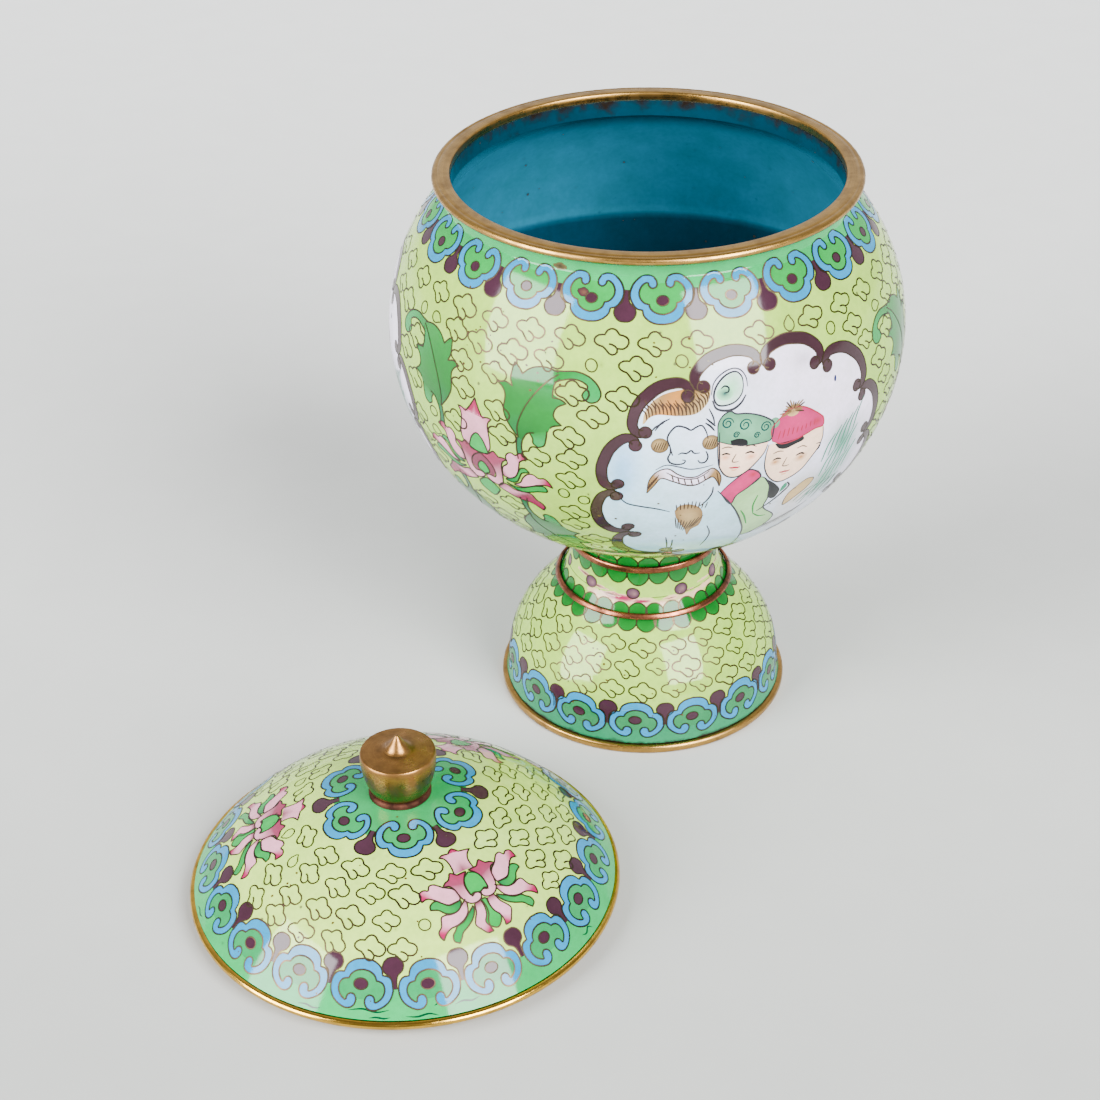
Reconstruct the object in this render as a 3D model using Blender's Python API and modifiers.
# Cloisonne lidded jar: a round bowl on a domed foot, with its lid lying beside it.
# Run with: blender --background --python part.py
# All lengths are in metres, +Z is up, and the floor is z = 0.

import math

import bpy

MM = 0.001

# Facets round a turned piece, and rows of facets along the curves of its profile
SEGMENTS = 40
KNOB_SEGMENTS = 28
BELLY_ROWS = 7
SHOULDER_ROWS = 4
NECK_ROWS = 3
FOOT_ROWS = 5
DOME_ROWS = 8
WIRE_SIDES = 6

# Touching pieces keep this gap
SEAT_GAP = 0.3 * MM

# Thickness of the enamelled copper walls
WALL = 2.0 * MM
LID_WALL = 2.0 * MM

# Bowl: two half ellipses that meet at the belly
BELLY_RADIUS = 60.5 * MM
BELLY_HEIGHT = 102.0 * MM
BOWL_SINK = 1.2 * MM
LIP_HEIGHT = 3.0 * MM
JAR_HEIGHT = 140.2 * MM

# Gilt ring on the mouth, with its edges eased
MOUTH_RING_RADIUS = 49.0 * MM
MOUTH_RING_BORE = 44.8 * MM
MOUTH_RING_THICKNESS = 1.8 * MM
RING_EASE = 0.5 * MM

# Neck between bowl and foot, and the seam where the two are soldered together
NECK_TOP_RADIUS = 18.7 * MM
NECK_TOP_HEIGHT = 48.0 * MM
NECK_TOP_FLARE = 0.15
FILLET_HEIGHT = 2.4 * MM
WAIST_RADIUS = 18.2 * MM
WAIST_HEIGHT = 41.0 * MM
SEAM_HEIGHT = 35.0 * MM

# Copper wires round the neck
WIRE_RADIUS = 0.65 * MM
UPPER_WIRE_HEIGHT = 42.8 * MM
LOWER_WIRE_HEIGHT = 30.8 * MM

# Foot: a bell whose side is a half ellipse, flaring a little at the floor
FOOT_RADIUS = 34.6 * MM
FOOT_WIDEST_HEIGHT = 6.0 * MM
FOOT_RISE = 30.0 * MM
FOOT_SHOULDER_HEIGHT = 27.0 * MM
FOOT_FLARE = 0.7 * MM
FOOT_RING_RADIUS = 36.4 * MM
FOOT_RING_HEIGHT = 2.2 * MM

# Lid: a cap of a sphere. Its heights are above the floor that it lies on
LID_SPHERE_RADIUS = 60.5 * MM
LID_RING_RADIUS = 48.9 * MM
LID_RING_THICKNESS = 1.6 * MM
LID_EDGE_RADIUS = 47.8 * MM
COLLAR_REACH = 3.0 * MM
COLLAR_THICKNESS = 1.2 * MM
COLLAR_CLEARANCE = 0.6 * MM

# Knob, with its heights above the top of the lid's dome
KNOB_SEAT_RADIUS = 7.0 * MM
KNOB_SEAT_BORE = 3.0 * MM
KNOB_SEAT_HEIGHT = 0.9 * MM
KNOB_BASE_RADIUS = 6.6 * MM
KNOB_BASE_FLARE = 0.45
KNOB_RADIUS = 8.45 * MM
KNOB_SHOULDER_HEIGHT = 9.9 * MM
KNOB_TOP_RADIUS = 8.1 * MM
KNOB_TOP_HEIGHT = 10.8 * MM
KNOB_DISH_RISE = 0.4 * MM
KNOB_POINT_RADIUS = 2.6 * MM
KNOB_HEIGHT = 15.1 * MM

# From the jar's axis to the lid's axis, on the floor
LID_STEP_X = -53.5 * MM
LID_STEP_Y = -85.8 * MM

COLLECTION_NAME = "cloisonne_lidded_jar"


def clear_scene():
    for obj in list(bpy.data.objects):
        bpy.data.objects.remove(obj)


def surface_material(name, colour, roughness, metallic):
    material = bpy.data.materials.new(name)
    material.use_nodes = True
    principled = material.node_tree.nodes["Principled BSDF"]
    principled.inputs["Base Color"].default_value = (*colour, 1.0)
    principled.inputs["Roughness"].default_value = roughness
    principled.inputs["Metallic"].default_value = metallic
    material.diffuse_color = (*colour, 1.0)
    return material


# Curves. A profile is a list of (radius, height) points


def spaced(start, end, count):
    """Even steps from start to end, with both ends."""
    return [start + (end - start) * i / count for i in range(count + 1)]


def ellipse_radius(radius, rise, centre, height):
    return radius * math.sqrt(1.0 - ((height - centre) / rise) ** 2)


def ellipse_slope(radius, rise, centre, height):
    """How fast the ellipse's radius grows with height."""
    at_height = ellipse_radius(radius, rise, centre, height)
    return -(radius**2) * (height - centre) / (rise**2 * at_height)


def ellipse_rise(radius, rise, at_radius):
    """How far above or below its centre the ellipse reaches a given radius."""
    return rise * math.sqrt(1.0 - (at_radius / radius) ** 2)


def ellipse_side(radius, rise, centre, start, end, rows):
    """The side of an ellipse between two heights, in even steps of angle."""
    first = math.asin((start - centre) / rise)
    last = math.asin((end - centre) / rise)
    return [
        (radius * math.cos(angle), centre + rise * math.sin(angle))
        for angle in spaced(first, last, rows)
    ]


def bend_radius(start, start_slope, end, end_slope, height):
    """The radius at a height on a cubic that leaves and meets two points at given slopes."""
    span = end[1] - start[1]
    t = (height - start[1]) / span
    return (
        start[0] * (2 * t**3 - 3 * t**2 + 1)
        + start_slope * span * (t**3 - 2 * t**2 + t)
        + end[0] * (3 * t**2 - 2 * t**3)
        + end_slope * span * (t**3 - t**2)
    )


def bend(start, start_slope, end, end_slope, rows):
    return [
        (bend_radius(start, start_slope, end, end_slope, height), height)
        for height in spaced(start[1], end[1], rows)
    ]


def sphere_height(radius, sphere_radius, centre):
    return centre + math.sqrt(sphere_radius**2 - radius**2)


def inner_face(outer, thickness):
    """The outer face moved inwards along its own normals, with its ends kept level."""
    inner = []
    for i, (radius, height) in enumerate(outer):
        if i in (0, len(outer) - 1):
            inner.append((radius - thickness, height))
            continue
        before = outer[i - 1]
        after = outer[i + 1]
        across = after[0] - before[0]
        down = before[1] - after[1]
        length = math.hypot(across, down)
        inner.append((radius - thickness * down / length, height - thickness * across / length))
    return inner


def without_repeats(points):
    kept = [points[0]]
    for point in points[1:]:
        if math.dist(point, kept[-1]) > 0.01 * MM:
            kept.append(point)
    return kept


def turned(name, points, material, parent, segments=SEGMENTS):
    """A profile swept round the Z axis. It runs down its outer side, and closes on itself."""
    points = without_repeats(points)
    edges = [(i, i + 1) for i in range(len(points) - 1)]
    ends_on_axis = points[0][0] == 0.0 and points[-1][0] == 0.0
    if not ends_on_axis:
        edges.append((len(points) - 1, 0))
    mesh = bpy.data.meshes.new(name)
    mesh.from_pydata([(radius, 0.0, height) for radius, height in points], edges, [])
    mesh.materials.append(material)
    obj = bpy.data.objects.new(name, mesh)
    bpy.data.collections[COLLECTION_NAME].objects.link(obj)
    obj.parent = parent
    screw = obj.modifiers.new("turn", "SCREW")
    screw.axis = "Z"
    screw.angle = math.tau
    screw.steps = segments
    screw.render_steps = segments
    screw.use_merge_vertices = True
    screw.merge_threshold = 0.01 * MM
    screw.use_smooth_shade = True
    return obj


def ring(name, bore, radius, bottom, top, material, parent):
    """A flat band with its outer edges eased all round and its bore eased at the top."""
    ease = min(RING_EASE, (top - bottom) / 3)
    points = [
        (bore, top - ease / 2),
        (bore + ease / 2, top),
        (radius - ease, top),
        (radius, top - ease),
        (radius, bottom + ease),
        (radius - ease, bottom),
        (bore, bottom),
    ]
    return turned(name, points, material, parent)


# The jar


def foot_shoulder():
    radius = ellipse_radius(FOOT_RADIUS, FOOT_RISE, FOOT_WIDEST_HEIGHT, FOOT_SHOULDER_HEIGHT)
    return radius, FOOT_SHOULDER_HEIGHT


def neck_radius(height):
    """The neck's outside, from under the bowl through the waist to the foot's shoulder."""
    waist = (WAIST_RADIUS, WAIST_HEIGHT)
    if height > WAIST_HEIGHT:
        top = (NECK_TOP_RADIUS, NECK_TOP_HEIGHT)
        return bend_radius(top, NECK_TOP_FLARE, waist, 0.0, height)
    slope = ellipse_slope(FOOT_RADIUS, FOOT_RISE, FOOT_WIDEST_HEIGHT, FOOT_SHOULDER_HEIGHT)
    return bend_radius(waist, 0.0, foot_shoulder(), slope, height)


def neck_face(top, bottom, rows):
    return [(neck_radius(height), height) for height in spaced(top, bottom, rows)]


def mouth_ring_bottom():
    return JAR_HEIGHT - MOUTH_RING_THICKNESS


def lip_bottom():
    return mouth_ring_bottom() - SEAT_GAP - LIP_HEIGHT


def belly_lower_rise():
    """The lower half ellipse would reach the axis a little below the neck's top."""
    return BELLY_HEIGHT - (NECK_TOP_HEIGHT - BOWL_SINK)


def belly_upper_rise():
    """The upper half ellipse meets the straight lip at its bottom."""
    lip_radius = MOUTH_RING_BORE + WALL
    return (lip_bottom() - BELLY_HEIGHT) / ellipse_rise(BELLY_RADIUS, 1.0, lip_radius)


def bowl_outside():
    lip = (MOUTH_RING_BORE + WALL, mouth_ring_bottom() - SEAT_GAP)
    lower_rise = belly_lower_rise()
    fillet_top = NECK_TOP_HEIGHT + FILLET_HEIGHT
    fillet_slope = ellipse_slope(BELLY_RADIUS, lower_rise, BELLY_HEIGHT, fillet_top)
    shoulder = ellipse_side(
        BELLY_RADIUS, belly_upper_rise(), BELLY_HEIGHT, lip_bottom(), BELLY_HEIGHT, SHOULDER_ROWS
    )
    belly = ellipse_side(
        BELLY_RADIUS, lower_rise, BELLY_HEIGHT, BELLY_HEIGHT, fillet_top, BELLY_ROWS
    )
    neck_top = (NECK_TOP_RADIUS, NECK_TOP_HEIGHT)
    fillet = bend(belly[-1], fillet_slope, neck_top, NECK_TOP_FLARE, NECK_ROWS)
    upper_neck = neck_face(NECK_TOP_HEIGHT, WAIST_HEIGHT, 2)
    lower_neck = neck_face(WAIST_HEIGHT, SEAM_HEIGHT + SEAT_GAP / 2, NECK_ROWS)
    return [lip] + shoulder + belly + fillet + upper_neck + lower_neck


def bowl_inside():
    """From the middle of the bowl's floor out and up to the lip."""
    radius = BELLY_RADIUS - WALL
    lower_rise = belly_lower_rise() - WALL
    upper_rise = belly_upper_rise() - WALL
    shoulder_top = BELLY_HEIGHT + ellipse_rise(radius, upper_rise, MOUTH_RING_BORE)
    floor = BELLY_HEIGHT - lower_rise
    belly = ellipse_side(radius, lower_rise, BELLY_HEIGHT, floor, BELLY_HEIGHT, BELLY_ROWS)
    shoulder = ellipse_side(
        radius, upper_rise, BELLY_HEIGHT, BELLY_HEIGHT, shoulder_top, SHOULDER_ROWS
    )
    lip = (MOUTH_RING_BORE, mouth_ring_bottom() - SEAT_GAP)
    return [(0.0, floor)] + belly[1:] + shoulder + [lip]


def bowl_underside():
    """From the seam up inside the neck, then in to the axis under the bowl's floor."""
    bore = WAIST_RADIUS - WALL
    seam = SEAM_HEIGHT + SEAT_GAP / 2
    bore_top = BELLY_HEIGHT - ellipse_rise(BELLY_RADIUS, belly_lower_rise(), bore)
    return [
        (neck_radius(seam) - WALL, seam),
        (bore, WAIST_HEIGHT),
        (bore, bore_top),
        (0.0, BELLY_HEIGHT - belly_lower_rise()),
    ]


def make_bowl(material, parent):
    points = bowl_inside() + bowl_outside() + bowl_underside()
    return turned("bowl", points, material, parent)


def make_foot(material, parent):
    foot_bottom = FOOT_RING_HEIGHT + SEAT_GAP
    neck = neck_face(SEAM_HEIGHT - SEAT_GAP / 2, FOOT_SHOULDER_HEIGHT, NECK_ROWS)
    side = ellipse_side(
        FOOT_RADIUS, FOOT_RISE, FOOT_WIDEST_HEIGHT, FOOT_SHOULDER_HEIGHT, FOOT_WIDEST_HEIGHT, FOOT_ROWS
    )
    hem = (FOOT_RADIUS + FOOT_FLARE, foot_bottom)
    outer = without_repeats(neck + side + [hem])
    inner = inner_face(outer, WALL)
    return turned("foot", outer + inner[::-1], material, parent)


def make_mouth_ring(material, parent):
    bottom = mouth_ring_bottom()
    return ring("mouth_ring", MOUTH_RING_BORE, MOUTH_RING_RADIUS, bottom, JAR_HEIGHT, material, parent)


def make_foot_ring(material, parent):
    bore = FOOT_RADIUS + FOOT_FLARE - WALL
    return ring("foot_ring", bore, FOOT_RING_RADIUS, 0.0, FOOT_RING_HEIGHT, material, parent)


def make_neck_wire(name, height, material, parent):
    """A round wire laid against the neck, standing off it along the neck's own normal."""
    step = WIRE_RADIUS / 2
    slope = (neck_radius(height + step) - neck_radius(height - step)) / (2 * step)
    stand_off = (WIRE_RADIUS + SEAT_GAP) / math.hypot(1.0, slope)
    centre_radius = neck_radius(height) + stand_off
    centre_height = height - stand_off * slope
    points = []
    for i in range(WIRE_SIDES):
        angle = -math.tau * i / WIRE_SIDES
        across = WIRE_RADIUS * math.cos(angle)
        points.append((centre_radius + across, centre_height + WIRE_RADIUS * math.sin(angle)))
    return turned(name, points, material, parent)


# The lid, lying on its collar


def lid_ring_top():
    return COLLAR_REACH + LID_RING_THICKNESS


def lid_centre():
    """The height of the centre of the dome's sphere."""
    edge = lid_ring_top() + SEAT_GAP
    return edge - math.sqrt(LID_SPHERE_RADIUS**2 - LID_EDGE_RADIUS**2)


def lid_inner_edge():
    """Where the dome's inner face meets its lower edge."""
    edge = lid_ring_top() + SEAT_GAP
    return math.sqrt((LID_SPHERE_RADIUS - LID_WALL) ** 2 - (edge - lid_centre()) ** 2)


def lid_top():
    return lid_centre() + LID_SPHERE_RADIUS


def dome_face(sphere_radius, edge_radius):
    points = []
    for angle in spaced(0.0, math.asin(edge_radius / sphere_radius), DOME_ROWS):
        points.append((sphere_radius * math.sin(angle), lid_centre() + sphere_radius * math.cos(angle)))
    return points


def make_lid_dome(material, parent):
    outer = dome_face(LID_SPHERE_RADIUS, LID_EDGE_RADIUS)
    inner = dome_face(LID_SPHERE_RADIUS - LID_WALL, lid_inner_edge())
    return turned("lid_dome", outer + inner[::-1], material, parent)


def make_lid_ring(material, parent):
    top = lid_ring_top()
    return ring("lid_ring", lid_inner_edge(), LID_RING_RADIUS, COLLAR_REACH, top, material, parent)


def make_lid_collar(material, parent):
    """The upright band that drops into the jar's mouth, and that the lid lies on."""
    ceiling = LID_SPHERE_RADIUS - LID_WALL - SEAT_GAP
    outer_radius = MOUTH_RING_BORE - COLLAR_CLEARANCE
    inner_radius = outer_radius - COLLAR_THICKNESS
    points = [
        (outer_radius, sphere_height(outer_radius, ceiling, lid_centre())),
        (outer_radius, 0.0),
        (inner_radius, 0.0),
        (inner_radius, sphere_height(inner_radius, ceiling, lid_centre())),
    ]
    return turned("lid_collar", points, material, parent)


def make_knob_seat(material, parent):
    """The copper washer under the knob, shaped to the dome below it."""
    underside = LID_SPHERE_RADIUS + SEAT_GAP
    top = lid_top() + KNOB_SEAT_HEIGHT
    points = [
        (KNOB_SEAT_BORE, top),
        (KNOB_SEAT_RADIUS - RING_EASE, top),
        (KNOB_SEAT_RADIUS, top - RING_EASE),
        (KNOB_SEAT_RADIUS, sphere_height(KNOB_SEAT_RADIUS, underside, lid_centre())),
        (KNOB_SEAT_BORE, sphere_height(KNOB_SEAT_BORE, underside, lid_centre())),
    ]
    return turned("knob_seat", points, material, parent, KNOB_SEGMENTS)


def make_knob(material, parent):
    """A tapered drum with a slightly dished top that sweeps up to a small point."""
    base = lid_top() + KNOB_SEAT_HEIGHT + SEAT_GAP
    shoulder = lid_top() + KNOB_SHOULDER_HEIGHT
    top = lid_top() + KNOB_TOP_HEIGHT
    tip = lid_top() + KNOB_HEIGHT
    point_foot = top + KNOB_DISH_RISE
    points = [(0.0, tip)]
    for share in (0.15, 0.35, 0.6, 1.0):
        height = point_foot + (tip - point_foot) * (1.0 - share) ** 1.7
        points.append((KNOB_POINT_RADIUS * share, height))
    points += [(KNOB_TOP_RADIUS, top), (KNOB_RADIUS, shoulder)]
    points += bend((KNOB_RADIUS, shoulder), 0.0, (KNOB_BASE_RADIUS, base), KNOB_BASE_FLARE, 4)
    points.append((0.0, base))
    return turned("lid_knob", points, material, parent, KNOB_SEGMENTS)


def shared_centre(step, jar_reach, lid_reach):
    """Where the jar's axis stands so that jar and lid together are centred on the origin."""
    low = min(-jar_reach, step - lid_reach)
    high = max(jar_reach, step + lid_reach)
    return -(low + high) / 2


def axis_empty(name, x, y):
    empty = bpy.data.objects.new(name, None)
    empty.location = (x, y, 0.0)
    bpy.data.collections[COLLECTION_NAME].objects.link(empty)
    return empty


def main():
    clear_scene()
    collection = bpy.data.collections.new(COLLECTION_NAME)
    bpy.context.scene.collection.children.link(collection)

    jar_reach = max(BELLY_RADIUS, MOUTH_RING_RADIUS, FOOT_RING_RADIUS)
    lid_reach = max(LID_RING_RADIUS, LID_EDGE_RADIUS)
    jar_x = shared_centre(LID_STEP_X, jar_reach, lid_reach)
    jar_y = shared_centre(LID_STEP_Y, jar_reach, lid_reach)
    jar = axis_empty("jar_axis", jar_x, jar_y)
    lid = axis_empty("lid_axis", jar_x + LID_STEP_X, jar_y + LID_STEP_Y)

    bowl_enamel = surface_material("bowl_enamel", (0.66, 0.78, 0.42), 0.2, 0.0)
    foot_enamel = surface_material("foot_enamel", (0.64, 0.77, 0.42), 0.2, 0.0)
    lid_enamel = surface_material("lid_enamel", (0.68, 0.80, 0.44), 0.2, 0.0)
    gilt = surface_material("gilt_brass", (0.62, 0.42, 0.16), 0.3, 1.0)
    knob_brass = surface_material("knob_brass", (0.50, 0.34, 0.15), 0.3, 1.0)
    copper = surface_material("copper_wire", (0.45, 0.22, 0.12), 0.35, 1.0)

    make_bowl(bowl_enamel, jar)
    make_foot(foot_enamel, jar)
    make_mouth_ring(gilt, jar)
    make_foot_ring(gilt, jar)
    make_neck_wire("upper_neck_wire", UPPER_WIRE_HEIGHT, copper, jar)
    make_neck_wire("lower_neck_wire", LOWER_WIRE_HEIGHT, copper, jar)

    make_lid_dome(lid_enamel, lid)
    make_lid_ring(gilt, lid)
    make_lid_collar(gilt, lid)
    make_knob_seat(copper, lid)
    make_knob(knob_brass, lid)


main()
